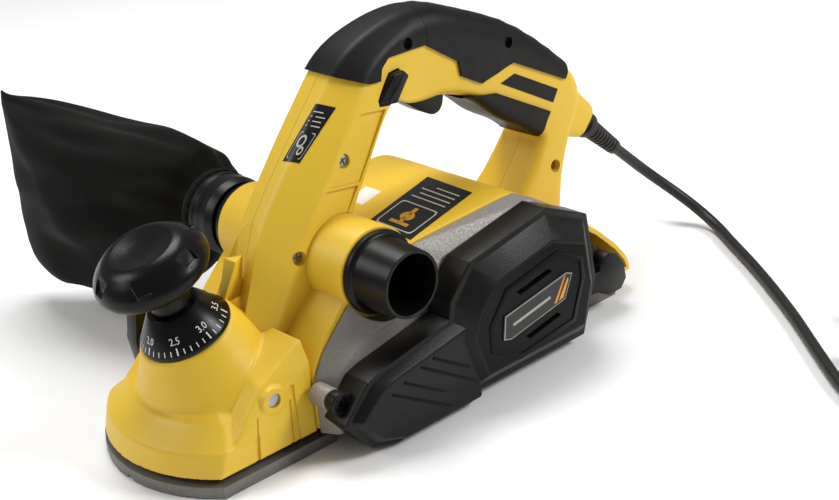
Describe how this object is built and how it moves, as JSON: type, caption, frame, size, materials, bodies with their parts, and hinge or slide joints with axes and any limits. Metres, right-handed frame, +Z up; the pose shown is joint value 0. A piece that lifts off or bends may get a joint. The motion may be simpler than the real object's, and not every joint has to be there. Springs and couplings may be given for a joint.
{
  "type": "electric hand planer",
  "caption": "Electric hand planer with a loop handle, adjustable front sole, belt-driven cutter drum, chip outlets on both sides, fabric dust bag and a mains cord.",
  "frame": {"origin": "middle of the flat face of the rear sole", "axes": "+X from toe to heel, +Z up from the sole, -Y towards the belt cover"},
  "size_m": [0.4649, 0.609, 0.2118],
  "materials": {
    "cast_alloy": "sand textured casting",
    "body_yellow": "moulded satin",
    "grip_rubber": "satin over-moulding",
    "black_plastic": "moulded satin",
    "steel": "machined",
    "brass": "turned",
    "cord_rubber": "matt",
    "bag_fabric": "woven polyester"
  },
  "bodies": {
    "machine": {"rear_shoe": "cast_alloy", "frame_casting": "cast_alloy", "far_bearing_plate": "cast_alloy", "motor_housing": "body_yellow", "toe_hood": "body_yellow", "handle_left": "body_yellow", "handle_right": "body_yellow", "grip_visor": "grip_rubber", "grip_top": "grip_rubber", "grip_under": "grip_rubber", "switch_body": "black_plastic", "belt_cover": "black_plastic", "name_plate": "black_plastic", "chip_outlet": "black_plastic", "far_chip_outlet": "black_plastic", "stator": "steel", "brush_front": "brass", "brush_rear": "brass", "drum_bearing_near": "steel", "drum_bearing_far": "steel", "motor_bearing_near": "steel", "motor_bearing_far": "steel", "drive_belt": "cord_rubber", "cover_screw_front": "steel", "cover_screw_rear": "steel", "guide_screw": "steel", "foot_pin": "steel", "foot_stop": "black_plastic", "depth_spring": "steel", "cord_guard": "cord_rubber", "power_cord": "cord_rubber", "cord_coil": "cord_rubber", "plug_body": "cord_rubber", "plug_pin_1": "brass", "plug_pin_2": "brass", "handle_screw_1": "steel", "handle_screw_2": "steel", "handle_screw_3": "steel", "handle_screw_4": "steel", "handle_screw_5": "steel"},
    "front_sole": {"front_shoe": "cast_alloy", "depth_nut": "brass"},
    "depth_control": {"depth_knob": "black_plastic", "dial_ring": "black_plastic", "depth_spindle": "steel"},
    "cutter": {"cutter_drum": "cast_alloy", "blade_1": "steel", "blade_2": "steel", "blade_clamp_1": "cast_alloy", "blade_clamp_2": "cast_alloy", "driven_pulley": "steel"},
    "rotor": {"armature": "steel", "cooling_fan": "black_plastic", "drive_pulley": "steel"},
    "trigger": {"trigger": "black_plastic"},
    "lock_button": {"lock_button": "grip_rubber"},
    "parking_foot": {"parking_foot": "black_plastic"},
    "fence_knob": {"fence_knob": "black_plastic"},
    "dust_bag": {"bag_adaptor": "black_plastic", "dust_bag": "bag_fabric"}
  },
  "joints": [
    {"name": "depth_turn", "type": "hinge", "parent": "machine", "child": "depth_control", "pos_m": [-0.1892, 0, 0.0732], "axis": [0.342, 0, -0.9397], "range_deg": [0, 315]},
    {"name": "front_sole_lift", "type": "slide", "parent": "machine", "child": "front_sole", "axis": [-0.342, 0, 0.9397], "range_m": [0, 0.0038]},
    {"name": "cutter_spin", "type": "hinge", "parent": "machine", "child": "cutter", "pos_m": [-0.121, 0, 0.024], "axis": [0, 1, 0], "continuous": true},
    {"name": "rotor_spin", "type": "hinge", "parent": "machine", "child": "rotor", "pos_m": [-0.005, 0, 0.052], "axis": [0, 1, 0], "continuous": true},
    {"name": "trigger_pull", "type": "hinge", "parent": "machine", "child": "trigger", "pos_m": [-0.0265, 0, 0.1635], "axis": [0, -1, 0], "range_deg": [0, 9], "stiffness_Nm_per_rad": 0.4, "springref_deg": -5.73},
    {"name": "lock_button_press", "type": "slide", "parent": "machine", "child": "lock_button", "axis": [0, 1, 0], "range_m": [0, 0.003], "stiffness_N_per_m": 500, "springref_m": -0.002},
    {"name": "parking_foot_swing", "type": "hinge", "parent": "machine", "child": "parking_foot", "pos_m": [0.054, -0.07, 0.024], "axis": [0, 1, 0], "range_deg": [0, 34]},
    {"name": "fence_knob_turn", "type": "hinge", "parent": "machine", "child": "fence_knob", "pos_m": [-0.176, 0.06, 0.042], "axis": [0, 1, 0], "range_deg": [-180, 180]},
    {"name": "bag_pull_off", "type": "slide", "parent": "machine", "child": "dust_bag", "axis": [0, 1, 0], "range_m": [0, 0.03]}
  ],
  "couplings": [
    {"joint": "front_sole_lift", "follows": "depth_turn", "m_per_rad": 0.00067748},
    {"joint": "rotor_spin", "follows": "cutter_spin", "ratio": 1.6}
  ]
}
